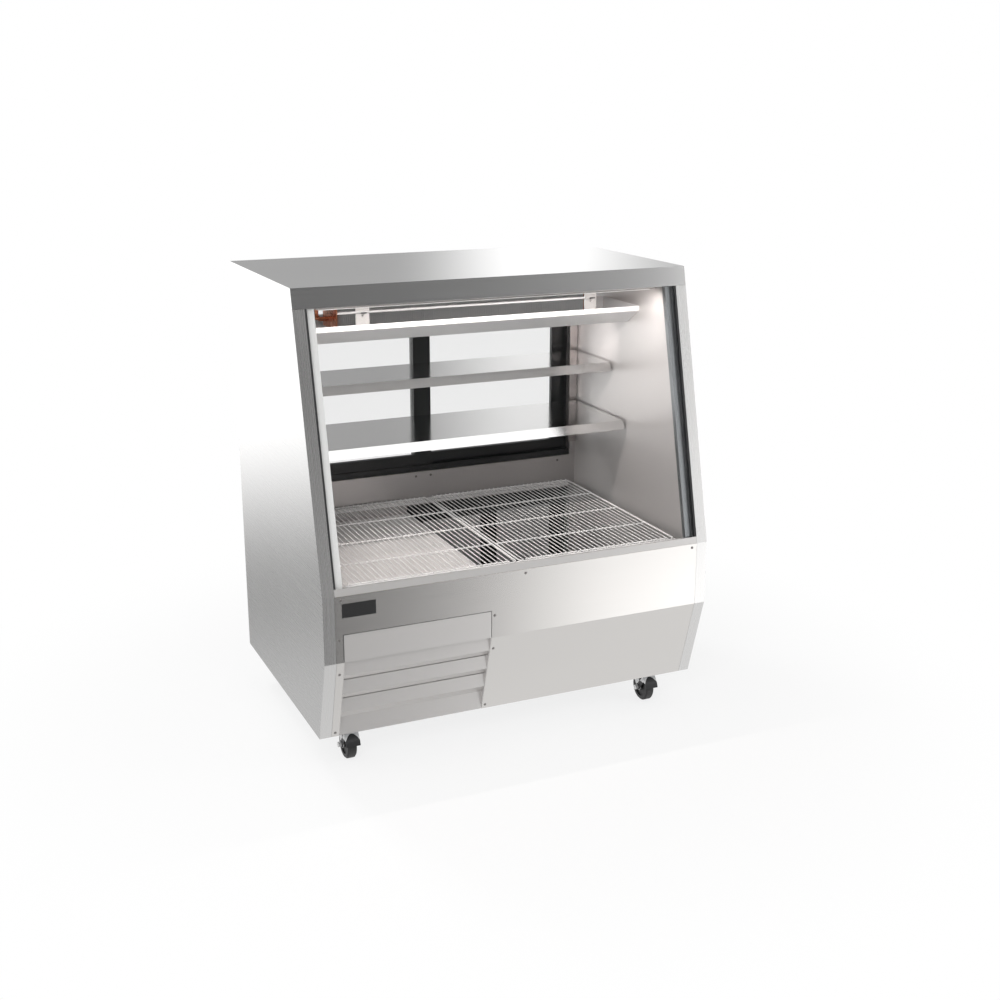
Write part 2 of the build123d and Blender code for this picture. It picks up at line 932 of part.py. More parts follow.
def tube_chase():
    """Square channels that leave the foam clear of every tube in the left wall."""
    reach = drain_radius + chase_gap
    runs = [
        (drain_y(), pan_low_z + drain_radius + 2 * sheet, drain_end),
        (suction_y(), coil_high_z - 3 * tube_radius, suction_end),
        (liquid_y(), coil_low_z + 5 * tube_radius, liquid_end),
    ]
    chase = None
    for y, head, foot in runs:
        low = foot - 4 * drain_radius
        shaft = block(-skin_x, -inner_half, y - reach, y + reach, low, head + reach)
        chase = shaft if chase is None else chase + shaft
    return chase


# Cooling coil, drip pan and light


def coil_tube_z(row):
    pitch = coil_height / tube_rows
    return coil_low_z + pitch * (row + 0.5)


def make_evaporator_fins():
    """Upright fins, evenly spaced along the tubes that carry them."""
    y_high = coil_front_y + coil_depth
    z_low = coil_low_z
    z_high = coil_high_z
    coil = None
    for row in range(tube_rows):
        section = Pos(coil_tube_y, coil_tube_z(row)) * RegularPolygon(tube_radius, 8)
        pipe = run(section, coil_left, coil_right)
        coil = pipe if coil is None else coil + pipe
    pitch = (coil_right - coil_left) / (fin_count + 1)
    fins = [
        block(x - fin_thickness / 2, x + fin_thickness / 2, coil_front_y, y_high, z_low, z_high)
        for x in [coil_left + pitch * (number + 1) for number in range(fin_count)]
    ]
    return coil + fins


def make_end_plates():
    y_high = coil_front_y + coil_depth
    z = (coil_low_z, ceiling_z)
    return [
        block(coil_left - end_plate, coil_left, coil_front_y, y_high, *z),
        block(coil_right, coil_right + end_plate, coil_front_y, y_high, *z),
    ]


def make_return_bends():
    """U-shaped tubes that join the rows beyond each end plate."""
    low = coil_tube_z(0)
    high = coil_tube_z(tube_rows - 1)
    bends = []
    for x, way in ((coil_right + end_plate, 1), (coil_left - end_plate, -1)):
        reach = x + way * bend_reach
        shift = coil_depth * 0.25 if way < 0 else 0
        y = coil_tube_y + shift
        points = [(x, y, low), (reach, y, low), (reach, y, high), (x, y, high)]
        bends.append(tube(points, tube_radius, 2.5 * tube_radius))
    return bends


def make_coil_hangers():
    """Two plates that hang the coil from the ceiling."""
    hangers = []
    for x in (hanger_left, hanger_right):
        reach = hanger_width / 2
        face = coil_front_y - end_plate
        z_low = coil_low_z + 2 * tube_radius
        step = ceiling_z - 2 * hanger_step
        lower = block(x - reach, x + reach, face, coil_front_y, z_low, step)
        upper = block(x - reach, x + reach / 2, face, coil_front_y, step, ceiling_z)
        foot = block(x - reach, x + reach / 2, face - hanger_step, coil_front_y,
                     ceiling_z - end_plate, ceiling_z)
        slot = cylinder_y(tube_radius / 2, face - 1, coil_front_y + 1, x, (z_low + step) / 2)
        hangers.append(lower + upper + foot - slot)
    return hangers


def make_drip_pan():
    """A trough below the coil, with a slanted front wall and closed ends."""
    low = pan_low_z
    lip_low = pan_lip_low_z
    lip_high = lip_low + pan_lip_height
    rear = pan_front_y + pan_depth
    path = [
        (rear, lip_high),
        (rear, low),
        (pan_front_y + pan_slope, low),
        (pan_front_y, lip_low),
        (pan_front_y, lip_high),
    ]
    pan_half = inner_half - pan_end_gap
    pan = bent_sheet(path, -pan_half, pan_half, side=Side.RIGHT)
    end = profile(*path)
    pan += run(end, pan_half - sheet, pan_half)
    pan += run(end, -pan_half, -pan_half + sheet)
    return pan - make_drain_tube()


def light_y():
    return front_at(ceiling_z, light_setback) + light_width / 2


def make_light_housing():
    reach = light_width / 2
    housing = block(-light_length / 2, light_length / 2, light_y() - reach, light_y() + reach,
                    ceiling_z - light_thickness, ceiling_z)
    edges = housing.edges().filter_by(Axis.X).sort_by(Axis.Z)[:2]
    return chamfer(edges, light_thickness / 3)


def make_light_tube():
    """A half-round lens below the housing."""
    z = ceiling_z - light_thickness
    reach = light_length / 2 - light_thickness
    lens = cylinder_x(lens_radius, -reach, reach, light_y(), z)
    return lens & below(z)


# Shelves, racks and what carries them


def make_shelf(height, shelf_depth):
    """A folded shelf with a slanted front lip, a return below it and a rear lip."""
    top = base_z + height
    front = shelf_rear_y - shelf_depth
    lip_foot = top - shelf_lip
    path = [
        (shelf_rear_y, top - shelf_rear_lip),
        (shelf_rear_y, top),
        (front, top),
        (front - shelf_lip_lean, lip_foot),
        (front - shelf_lip_lean + shelf_return, lip_foot),
    ]
    return bent_sheet(path, -shelf_half, shelf_half)


def make_shelf_brackets():
    """A tapered arm under each end of each shelf, hooked into the pilaster behind it."""
    arms = []
    for height, length in (
        (upper_shelf_height, upper_shelf_depth),
        (lower_shelf_height, lower_shelf_depth),
    ):
        top = base_z + height - sheet
        nose = shelf_rear_y - sheet - length * bracket_share
        arm = run(
            profile(
                (pilaster_face, top),
                (pilaster_face, top - bracket_root),
                (nose, top - bracket_nose),
                (nose, top),
            ),
            bracket_x,
            bracket_x + bracket_thickness,
        )
        slack = door_float
        arm -= block(0, half, shelf_rear_y - sheet - slack, shelf_rear_y + slack,
                     top - shelf_rear_lip - slack, top + sheet)
        for drop in (0, slot_pitch):
            z = hook_z(height) - drop
            arm += block(bracket_x, bracket_x + bracket_thickness, pilaster_face,
                         pilaster_face + hook_depth, z, z + hook_height)
        arms += [arm, mirrored(arm)]
    return arms


def hook_z(height):
    """The foot of the slot that a shelf's upper hook sits in."""
    return base_z + height - sheet - shelf_rear_lip - 2 * hook_height


def make_pilasters():
    """Slotted channels on the rear posts that the brackets hook into."""
    x_low = pilaster_right - pilaster_width
    x_high = pilaster_right
    z_low = base_z + pilaster_low
    strip = block(x_low, x_high, pilaster_face, inner_rear_y, z_low, ceiling_z)
    strip -= block(x_low + pilaster_wall, x_high - pilaster_wall,
                   pilaster_face + pilaster_wall, inner_rear_y, z_low, ceiling_z)
    slot_x = bracket_x + bracket_thickness / 2
    for height in (upper_shelf_height, lower_shelf_height):
        for step in range(-1, 3):
            z = hook_z(height) - step * slot_pitch - (slot_height - hook_height) / 2
            strip -= block(slot_x - slot_width / 2, slot_x + slot_width / 2,
                           pilaster_face - 1, pilaster_face + 2 * pilaster_wall,
                           z, z + slot_height)
    return [strip, mirrored(strip)]


def make_wire_rack(x_low, x_high):
    """A rounded frame wire with cross wires, and thin wires laid on top of them."""
    y_high = inner_rear_y - rack_rear_gap
    y_low = y_high - rack_depth
    frame_top = rack_z - thin_wire
    frame_low = frame_top - frame_wire
    rim_width = x_high - x_low
    centre = Pos((x_low + x_high) / 2, (y_low + y_high) / 2, frame_low)
    inner_corner = rack_corner - frame_wire
    rim = RectangleRounded(rim_width, rack_depth, rack_corner) - RectangleRounded(
        rim_width - 2 * frame_wire, rack_depth - 2 * frame_wire, inner_corner
    )
    rack = centre * extrude(rim, frame_wire)
    for number in range(cross_wires):
        y = y_low + rack_depth * (number + 1) / (cross_wires + 1)
        rack += block(x_low + frame_wire / 2, x_high - frame_wire / 2, y - frame_wire / 2,
                      y + frame_wire / 2, frame_low, frame_top)
    span = rim_width - 2 * rack_corner
    count = round(span / thin_pitch)
    wires = [
        block(x - thin_wire / 2, x + thin_wire / 2, y_low, y_high, frame_top, rack_z)
        for x in [x_low + rack_corner + span * number / count for number in range(count + 1)]
    ]
    return rack + wires


def make_rack_rails():
    """An angle along the front wall and one along the rear frame."""
    top = rack_z - thin_wire - frame_wire
    wall_y = front_y + front_wall
    reach = opening_half - rail_end_gap
    front = block(-reach, reach, wall_y, wall_y + rail_leg, top - sheet, top)
    front += block(-reach, reach, wall_y, wall_y + sheet, top - rail_leg, top)
    rear = block(-reach, reach, inner_rear_y - rail_leg, inner_rear_y, top - sheet, top)
    rear += block(-reach, reach, inner_rear_y - sheet, inner_rear_y, top - rail_leg, top)
    return [front, rear]


# Casters


def caster_places():
    """Each caster's name, the axis that it swivels about and whether it has a brake."""
    return [
        ("front_left", -caster_x, caster_front_y, True),
        ("front_right", caster_x, caster_front_y, True),
        ("rear_left", -caster_x, caster_rear_y, False),
        ("rear_right", caster_x, caster_rear_y, False),
    ]


def make_caster_plate(x, y):
    """A bolted plate with the fixed half of the swivel bearing below it."""
    top = base_z + sheet
    low = top - plate_thickness
    plate = block(x - plate_breadth / 2, x + plate_breadth / 2, y - plate_length / 2,
                  y + plate_length / 2, low, top)
    for across in (-1, 1):
        for along in (-1, 1):
            plate -= cylinder_z(bolt_hole_radius, low, top, x + across * bolt_spacing_short / 2,
                                y + along * bolt_spacing_long / 2)
    return plate + cylinder_z(race_radius, low - race_height, low, x, y)


def make_fork(x, y, braked):
    """The swivelling horn, its axle bolt and the nut on the bolt's left end."""
    top = base_z + sheet - plate_thickness - race_height - race_gap
    axle_y = y - caster_trail
    inner = wheel_width / 2 + fork_clearance
    outer = inner + fork_thickness
    cap = cylinder_z(race_radius, top - fork_thickness, top, x, y)
    cap &= block(x - outer, x + outer, y - race_radius, y + race_radius, 0, top)
    tip = Pos(axle_y, wheel_radius) * Circle(fork_tip)
    brow = profile(
        (y + race_radius * 0.8, top),
        (y - race_radius * 0.8, top),
        (axle_y - fork_tip, wheel_radius),
        (axle_y + fork_tip, wheel_radius),
    )
    leg = brow + tip
    fork = cap
    fork += run(leg, x - outer, x - inner) + run(leg, x + inner, x + outer)
    arm = pedal_arm + 2 * race_gap if braked else 0
    reach = outer + arm
    axle_hole = cylinder_x(axle_radius, x - outer, x + outer, axle_y, wheel_radius)
    axle = cylinder_x(axle_radius, x - reach, x + reach, axle_y, wheel_radius)
    for side in (-1, 1):
        nut = extrude(RegularPolygon(nut_size / 2, 6), nut_length)
        axle += Pos(x + side * reach, axle_y, wheel_radius) * Rot(0, 90 * side, 0) * nut
    return [fork - axle_hole, axle]


def make_wheel(x, y):
    """A tyre-edged wheel with a dished hub, bored for the axle."""
    axle_y = y - caster_trail
    reach = wheel_width / 2
    wheel = cylinder_x(wheel_radius, x - reach, x + reach, axle_y, wheel_radius)
    rims = wheel.edges().filter_by(GeomType.CIRCLE)
    wheel = chamfer(rims, wheel_width / 7)
    hub = axle_radius * 2.2
    for side in (-1, 1):
        dish_low, dish_high = sorted((x + side * reach, x + side * (reach - hub_dish)))
        dish = cylinder_x(wheel_radius * 0.68, dish_low, dish_high, axle_y, wheel_radius)
        boss = cylinder_x(hub, dish_low, dish_high, axle_y, wheel_radius)
        wheel -= dish - boss
    bore = axle_radius + axle_clearance
    return wheel - cylinder_x(bore, x - reach, x + reach, axle_y, wheel_radius)


def make_brake_pedal(x, y):
    """A curved pedal over the front of the wheel, on two arms that turn on the axle."""
    axle_y = y - caster_trail
    inner = wheel_radius + pedal_gap
    outer = inner + pedal_thickness
    arm_inner = wheel_width / 2 + fork_clearance + fork_thickness + race_gap
    arm_outer = arm_inner + pedal_arm
    ring = Circle(outer) - Circle(inner)
    sector = make_face(
        Polyline(
            (0, 0),
            (-2 * outer * cos(radians(pedal_low)), 2 * outer * sin(radians(pedal_low))),
            (-2 * outer * cos(radians(pedal_low + pedal_high) / 2),
             2 * outer * sin(radians(pedal_low + pedal_high) / 2)),
            (-2 * outer * cos(radians(pedal_high)), 2 * outer * sin(radians(pedal_high))),
            close=True,
        )
    )
    hood = Pos(axle_y, wheel_radius) * (ring & sector)
    middle = (pedal_low + pedal_high) / 2
    arm = Rot(0, 0, 180 - middle) * Pos(inner / 2 + pedal_thickness / 4, 0) * Rectangle(
        inner + pedal_thickness / 2, fork_tip * 1.4
    )
    arm = Pos(axle_y, wheel_radius) * (arm + Circle(fork_tip * 0.9))
    pedal = run(hood, x - arm_outer, x + arm_outer)
    pedal += run(arm, x - arm_outer, x - arm_inner) + run(arm, x + arm_inner, x + arm_outer)
    bore = axle_radius + axle_clearance
    return pedal - cylinder_x(bore, x - arm_outer, x + arm_outer, axle_y, wheel_radius)


def make_all():
    """Every node's name with its solid, or its group of solids."""
    right_end = make_right_end_panel()
    upper_left, upper_right = make_door_pair(
        -opening_half,
        opening_half,
        base_z + upper_opening_low,
        upper_opening_z,
        upper_glass_thickness,
    )
    storage_left, storage_right = make_door_pair(
        well_left,
        opening_half,
        base_z + storage_opening_low,
        base_z + storage_opening_high,
        storage_panel_thickness,
    )
    nodes = {
        "left_end_panel": mirrored(right_end),
        "right_end_panel": right_end,
        "top_cap": make_top_cap(),
        "front_panel": make_front_panel(),
        "louvre_grille": make_louvre_grille(),
        "front_sill": make_front_sill(),
        "base_pan": make_base_pan(),
        "foam_insulation": make_insulation(),
        "liner_panels": make_liner_panels(),
        "tank_liner": make_tank_liner(),
        "front_liner": make_front_liner(),
        "front_glass": make_front_glass(),
        "glass_gaskets": make_glass_gaskets(),
        "glass_posts": make_glass_posts(),
        "rear_frame": make_rear_frame(),
        "door_tracks": make_door_tracks(),
        "left_door_frame": upper_left[0],
        "left_door_glass": upper_left[1],
        "right_door_frame": upper_right[0],
        "right_door_glass": upper_right[1],
        "left_storage_door_frame": storage_left[0],
        "left_storage_door_panel": storage_left[1],
        "right_storage_door_frame": storage_right[0],
        "right_storage_door_panel": storage_right[1],
        "service_panel": make_service_panel(),
        "cord_gland": make_cord_gland(),
        "thermostat_knob": make_thermostat_knob(),
        "light_switch": make_light_switch(),
        "compressor": make_compressor(),
        "condenser": make_condenser(),
        "fan_shroud": make_fan_shroud(),
        "fan_motor": make_fan_motor(),
        "fan_blade": make_fan_blade(),
        "drain_tube": make_drain_tube(),
        "refrigerant_lines": [suction_line(), liquid_line()],
        "evaporator_fins": make_evaporator_fins(),
        "evaporator_end_plates": make_end_plates(),
        "evaporator_return_bends": make_return_bends(),
        "coil_hangers": make_coil_hangers(),
        "drip_pan": make_drip_pan(),
        "light_housing": make_light_housing(),
        "light_tube": make_light_tube(),
        "upper_shelf": make_shelf(upper_shelf_height, upper_shelf_depth),
        "lower_shelf": make_shelf(lower_shelf_height, lower_shelf_depth),
        "shelf_brackets": make_shelf_brackets(),
        "pilasters": make_pilasters(),
        "left_wire_rack": make_wire_rack(rack_left, rack_join - rack_gap / 2),
        "right_wire_rack": make_wire_rack(rack_join + rack_gap / 2, rack_right),
        "rack_rails": make_rack_rails(),
        "caster_plates": [make_caster_plate(x, y) for _, x, y, _ in caster_places()],
    }
    for name, x, y, braked in caster_places():
        nodes[name + "_fork"] = make_fork(x, y, braked)
        nodes[name + "_wheel"] = make_wheel(x, y)
        if braked:
            nodes[name + "_brake_pedal"] = make_brake_pedal(x, y)
    return nodes


os.makedirs("parts", exist_ok=True)
for node, made in make_all().items():
    pieces = made if isinstance(made, list) else [made]
    solids = [solid for piece in pieces for solid in piece.solids()]
    whole = solids[0] if len(solids) == 1 else Compound(children=solids)
    export_step(whole, f"parts/{node}.step")
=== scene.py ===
import bpy
import bmesh
import json
import math
from mathutils import Matrix, Vector

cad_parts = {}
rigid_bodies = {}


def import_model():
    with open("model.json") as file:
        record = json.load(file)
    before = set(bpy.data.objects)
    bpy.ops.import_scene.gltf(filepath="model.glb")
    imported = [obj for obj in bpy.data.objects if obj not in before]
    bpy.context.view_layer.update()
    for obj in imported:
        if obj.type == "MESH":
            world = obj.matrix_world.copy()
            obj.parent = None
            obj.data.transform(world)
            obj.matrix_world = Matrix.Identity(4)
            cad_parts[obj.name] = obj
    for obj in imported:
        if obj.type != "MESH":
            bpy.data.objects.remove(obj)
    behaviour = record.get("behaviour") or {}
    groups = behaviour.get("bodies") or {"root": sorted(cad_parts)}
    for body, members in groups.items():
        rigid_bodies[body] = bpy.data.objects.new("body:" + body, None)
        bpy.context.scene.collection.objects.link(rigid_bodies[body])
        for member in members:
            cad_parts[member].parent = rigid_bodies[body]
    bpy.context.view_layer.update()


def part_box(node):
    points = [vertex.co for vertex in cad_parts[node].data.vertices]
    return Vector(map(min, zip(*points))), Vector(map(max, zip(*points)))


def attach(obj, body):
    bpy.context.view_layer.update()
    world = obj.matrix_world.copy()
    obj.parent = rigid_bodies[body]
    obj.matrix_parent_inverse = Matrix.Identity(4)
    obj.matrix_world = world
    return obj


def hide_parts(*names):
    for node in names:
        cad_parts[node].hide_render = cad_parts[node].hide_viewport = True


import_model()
objects = bpy.data.objects
scene = bpy.context.scene
scene.view_settings.view_transform = "Standard"
WHITE = (1, 1, 1)


# Camera, fitted to the straight edges of the photograph

CAMERA_PLACE = (-1.6164, -3.8169, 1.8894)
CAMERA_AZIMUTH = -24.35
CAMERA_ELEVATION = 16.57
CAMERA_ROLL = 0.11
CAMERA_LENS = 49.78
SENSOR_WIDTH = 36.0


def toward_viewer(azimuth, elevation):
    """The unit vector that points from the case to a viewer at these angles."""
    a = math.radians(azimuth)
    e = math.radians(elevation)
    return Vector((math.sin(a) * math.cos(e), -math.cos(a) * math.cos(e), math.sin(e)))


def place_camera():
    back = toward_viewer(CAMERA_AZIMUTH, CAMERA_ELEVATION)
    right = Vector((0, 0, 1)).cross(back).normalized()
    up = back.cross(right)
    roll = math.radians(CAMERA_ROLL)
    right, up = (
        right * math.cos(roll) + up * math.sin(roll),
        up * math.cos(roll) - right * math.sin(roll),
    )
    data = bpy.data.cameras.new("camera")
    data.sensor_width = SENSOR_WIDTH
    data.lens = CAMERA_LENS
    data.clip_end = 100.0
    camera = bpy.data.objects.new("camera", data)
    scene.collection.objects.link(camera)
    turn = Matrix((right, up, back)).transposed().to_4x4()
    camera.matrix_world = Matrix.Translation(CAMERA_PLACE) @ turn
    scene.camera = camera


place_camera()


# Node tools, for the materials and the world


def add_math(tree, operation, *values):
    """A Math node. Each value is a number or another node's output."""
    made = tree.nodes.new("ShaderNodeMath")
    made.operation = operation
    for socket, value in zip(made.inputs, values):
        if isinstance(value, (int, float)):
            socket.default_value = value
        else:
            tree.links.new(value, socket)
    return made.outputs[0]


def add_ramp(tree, source, start, end, low, high, smooth=False):
    """Maps start..end of the source to low..high."""
    made = tree.nodes.new("ShaderNodeMapRange")
    if smooth:
        made.interpolation_type = "SMOOTHSTEP"
    made.inputs["From Min"].default_value = start
    made.inputs["From Max"].default_value = end
    made.inputs["To Min"].default_value = low
    made.inputs["To Max"].default_value = high
    tree.links.new(source, made.inputs["Value"])
    return made.outputs["Result"]


def mix_socket(sockets, kind, name=None):
    """A Mix node has sockets of one name for each kind of value."""
    return [s for s in sockets if s.type == kind and name in (None, s.name)][0]


class Maker:
    """A small helper that builds one material's nodes."""

    def __init__(self, name):
        self.material = bpy.data.materials.new(name)
        self.material.use_nodes = True
        self.tree = self.material.node_tree
        self.shader = self.tree.nodes["Principled BSDF"]

    def link(self, source, target):
        self.tree.links.new(source, target)

    def set(self, **values):
        """Sets numbers and colours that are the same all over the surface."""
        for key, value in values.items():
            self.shader.inputs[key.replace("_", " ")].default_value = value

    def feed(self, name, source):
        """Links a node's output to one of the shader's sockets."""
        self.link(source, self.shader.inputs[name])

    def math(self, operation, *values):
        return add_math(self.tree, operation, *values)

    def ramp(self, source, low, high, start=0.35, end=0.65):
        """Maps the source to low..high, by default over the range of a noise."""
        return add_ramp(self.tree, source, start, end, low, high)

    def along(self, axis, space="Object"):
        """The place along one axis, or the part of the normal along it."""
        place = self.tree.nodes.new("ShaderNodeTexCoord")
        parts = self.tree.nodes.new("ShaderNodeSeparateXYZ")
        self.link(place.outputs[space], parts.inputs[0])
        return parts.outputs[axis]

    def streaks(self, stretch, detail=3.0):
        """Noise in object space, drawn out by a different amount along each axis."""
        place = self.tree.nodes.new("ShaderNodeTexCoord")
        mapping = self.tree.nodes.new("ShaderNodeMapping")
        mapping.inputs["Scale"].default_value = stretch
        self.link(place.outputs["Object"], mapping.inputs["Vector"])
        noise = self.tree.nodes.new("ShaderNodeTexNoise")
        noise.inputs["Scale"].default_value = 1.0
        noise.inputs["Detail"].default_value = detail
        noise.inputs["Roughness"].default_value = 0.6
        self.link(mapping.outputs["Vector"], noise.inputs["Vector"])
        return noise.outputs["Fac"]

    def blend(self, factor, first, second):
        made = self.tree.nodes.new("ShaderNodeMix")
        made.data_type = "RGBA"
        mix_socket(made.inputs, "RGBA", "A").default_value = (*first, 1)
        mix_socket(made.inputs, "RGBA", "B").default_value = (*second, 1)
        self.link(factor, mix_socket(made.inputs, "VALUE", "Factor"))
        return mix_socket(made.outputs, "RGBA")

    def tint(self, noise, colour, contrast):
        """Varies the base colour a little, both ways, with the noise."""
        darker = tuple(c * (1 - contrast) for c in colour)
        lighter = tuple(min(1, c * (1 + contrast)) for c in colour)
        self.feed("Base Color", self.blend(self.ramp(noise, 0, 1), darker, lighter))

    def sideways(self, first, second):
        """Takes the first value on faces that look along X, the second elsewhere."""
        facing = self.math("ABSOLUTE", self.along("X", "Normal"))
        made = self.tree.nodes.new("ShaderNodeMix")
        share = self.math("GREATER_THAN", facing, SIDEWAYS_SHARE)
        self.link(share, mix_socket(made.inputs, "VALUE", "Factor"))
        for name, value in (("A", second), ("B", first)):
            socket = mix_socket(made.inputs, "VALUE", name)
            if isinstance(value, float):
                socket.default_value = value
            else:
                self.link(value, socket)
        return mix_socket(made.outputs, "VALUE")

    def bump(self, height, strength, distance):
        made = self.tree.nodes.new("ShaderNodeBump")
        made.inputs["Strength"].default_value = strength
        made.inputs["Distance"].default_value = distance
        self.link(height, made.inputs["Height"])
        self.feed("Normal", made.outputs["Normal"])


# Materials

# Noise scales for each axis. Brushed grain is fine across and long along one axis.
ALONG_X = (2.5, 900.0, 900.0)
ALONG_Z = (900.0, 900.0, 2.5)
ALONG_Y = (900.0, 2.5, 900.0)
ALONG_SLOPE = (900.0, 2.5, 2.5)
BROAD = (2.0, 2.0, 2.0)
SIDEWAYS_SHARE = 0.6
SHEET_RELIEF = 0.0002
MOULD_RELIEF = 0.0003


def brushed(name, colour, roughness, grain, metallic=1.0, contrast=0.012, strength=0.006):
    """Sheet metal with fine streaks along the grain."""
    m = Maker(name)
    m.set(Metallic=metallic)
    fine = m.streaks(grain, 4.0)
    if grain == ALONG_Y:
        fine = m.sideways(fine, m.streaks(ALONG_SLOPE, 4.0))
    m.tint(fine, colour, contrast)
    streaked = m.ramp(fine, roughness * 0.94, roughness * 1.06)
    uneven = m.ramp(m.streaks(BROAD, 2.0), -0.004, 0.004)
    m.feed("Roughness", m.math("ADD", streaked, uneven))
    m.bump(fine, strength, SHEET_RELIEF)
    return m.material


def moulded(name, colour, roughness, scale=220.0, contrast=0.12, strength=0.08):
    """Plastic, rubber or paint with a fine uneven surface."""
    m = Maker(name)
    cloud = m.streaks((scale, scale, scale))
    m.tint(cloud, colour, contrast)
    m.feed("Roughness", m.ramp(cloud, roughness * 0.85, roughness * 1.15))
    m.bump(cloud, strength, MOULD_RELIEF)
    return m.material


def glazed(name, colour, alpha, roughness):
    """Clear plate glass with faint dust streaks."""
    m = Maker(name)
    m.set(Alpha=alpha, IOR=1.5)
    dust = m.streaks((6.0, 6.0, 2.0))
    lighter = tuple(min(1, c * 1.06) for c in colour)
    m.feed("Base Color", m.blend(m.ramp(dust, 0, 1), colour, lighter))
    m.feed("Roughness", m.ramp(dust, roughness, roughness * 2))
    return m.material


def post_extrusion():
    """Glass posts: one extrusion in two tones. The front of the left post is painted pale as
    painted light, and the sides and the right post get painted shade in dull grey.
    """
    m = Maker("post_extrusion")
    streak = m.streaks(ALONG_SLOPE, 4.0)
    right_post = m.ramp(m.along("X"), 0.0, 1.0, -0.1, 0.1)
    # Painted shade: faces that look along X and the whole right post take the dull grey. The
    # left post's front takes the pale tone as painted light.
    painted_post_shade = m.sideways(1.0, right_post)
    m.feed("Base Color", m.blend(painted_post_shade, (0.78, 0.78, 0.77), (0.27, 0.28, 0.29)))
    m.feed("Metallic", m.ramp(painted_post_shade, 0.15, 0.85, 0.0, 1.0))
    m.feed("Roughness", m.ramp(streak, 0.26, 0.34))
    m.bump(streak, 0.02, SHEET_RELIEF)
    return m.material


def tank_sheet():
    """Tank liner: a pale deck over the machine space. The same liner is painted darker in the
    well as painted shade.
    """
    m = Maker("tank_sheet")
    # Painted shade: past about x = -0.064 the liner takes the darker colour, standing for the
    # shade down in the well.
    well = m.ramp(m.along("X"), 0.0, 1.0, -0.066, -0.062)
    m.feed("Base Color", m.blend(well, (0.80, 0.775, 0.765), (0.40, 0.39, 0.385)))
    m.feed("Metallic", m.ramp(well, 0.30, 0.75, 0.0, 1.0))
    grain = m.streaks(ALONG_X, 4.0)
    m.feed("Roughness", m.ramp(grain, 0.34, 0.38))
    m.bump(grain, 0.006, SHEET_RELIEF)
    return m.material


def brake_pedal():
    """Brake pedals: a pale steel cover over a black skirt with an arched top."""
    caster_x = 0.499
    arch_top = 0.088
    arch_bend = 34.0
    m = Maker("brake_pedal")
    beside = m.math("SUBTRACT", m.math("ABSOLUTE", m.along("X")), caster_x)
    arch = m.math("MULTIPLY", m.math("MULTIPLY", beside, beside), arch_bend)
    above = m.math("GREATER_THAN", m.math("ADD", m.along("Z"), arch), arch_top)
    grain = m.streaks((320.0, 320.0, 320.0))
    m.feed("Base Color", m.blend(above, (0.010, 0.010, 0.011), (0.66, 0.66, 0.66)))
    m.feed("Metallic", m.ramp(above, 0.0, 0.5, 0.0, 1.0))
    m.feed("Roughness", m.ramp(grain, 0.36, 0.46))
    m.bump(grain, 0.04, MOULD_RELIEF)
    return m.material


def lamp_lens():
    """A ribbed diffuser that glows a little."""
    m = Maker("lamp_lens")
    m.set(
        Roughness=0.4,
        Base_Color=(0.95, 0.95, 0.93, 1),
        Emission_Color=(1.0, 0.97, 0.93, 1),
        Emission_Strength=0.2,
    )
    m.bump(m.streaks((500.0, 3.0, 3.0), 2.0), 0.1, MOULD_RELIEF)
    return m.material


materials = {
    "side": brushed(
        "brushed_side_sheet", (0.60, 0.595, 0.59), 0.27, ALONG_Y, 1.0, 0.006, 0.002
    ),
    "front": brushed("brushed_front_sheet", (0.60, 0.585, 0.57), 0.24, ALONG_X),
    "top": brushed("brushed_top_sheet", (0.60, 0.597, 0.594), 0.22, ALONG_X),
    "inner": brushed("inner_sheet", (0.50, 0.48, 0.475), 0.34, ALONG_X, 0.9),
    "pilaster": brushed("pilaster_sheet", (0.40, 0.37, 0.36), 0.30, ALONG_Z),
    "hanger": moulded("white_hanger", (0.36, 0.355, 0.35), 0.40, 200.0, 0.03, 0.02),
    "shelf": brushed("shelf_sheet", (0.60, 0.595, 0.59), 0.14, ALONG_X),
    "galvanised": brushed("galvanised_sheet", (0.50, 0.51, 0.52), 0.40, (40, 40, 40)),
    "grille": brushed(
        "grille_sheet", (0.56, 0.545, 0.535), 0.30, ALONG_X, 0.65, 0.006, 0.0012
    ),
    "sill": brushed("sill_sheet", (0.57, 0.555, 0.545), 0.30, ALONG_X, 0.6),
    "liner": brushed("liner_sheet", (0.60, 0.58, 0.57), 0.40, ALONG_Z, 0.5),
    "tank": tank_sheet(),
    "pan": brushed("pan_sheet", (0.84, 0.84, 0.84), 0.35, ALONG_X, 0.35),
    "post": post_extrusion(),
    "foam": moulded("foam", (0.80, 0.72, 0.50), 0.85, 300.0, 0.15, 0.5),
    "black": moulded("black_plastic", (0.010, 0.010, 0.011), 0.45, 320.0),
    "dark": moulded("dark_extrusion", (0.009, 0.009, 0.0095), 0.34, 260.0),
    "grey": moulded("grey_plastic", (0.33, 0.33, 0.33), 0.45, 200.0, 0.04, 0.02),
    "fins": brushed("fin_aluminium", (0.58, 0.585, 0.59), 0.32, ALONG_Z, 0.6),
    "polished": brushed("polished_tube", (0.85, 0.85, 0.85), 0.20, ALONG_X, 0.7),
    "screw": brushed("screw_head", (0.20, 0.19, 0.185), 0.35, (300, 300, 300), 0.9),
    "copper": brushed("copper_tube", (0.72, 0.30, 0.17), 0.28, (60, 60, 60)),
    "zinc": brushed("zinc_plate", (0.76, 0.76, 0.76), 0.30, (120, 120, 120), 0.55),
    "pedal": brake_pedal(),
    "tyre": moulded("caster_rubber", (0.008, 0.008, 0.008), 0.5, 400.0),
    "wire": moulded("white_wire", (0.80, 0.79, 0.78), 0.35, 300.0, 0.04),
    "glass": glazed("front_plate_glass", (0.03, 0.04, 0.04), 0.015, 0.02),
    "pane": glazed("door_pane_glass", (0.30, 0.31, 0.30), 0.085, 0.03),
    "lamp": lamp_lens(),
}

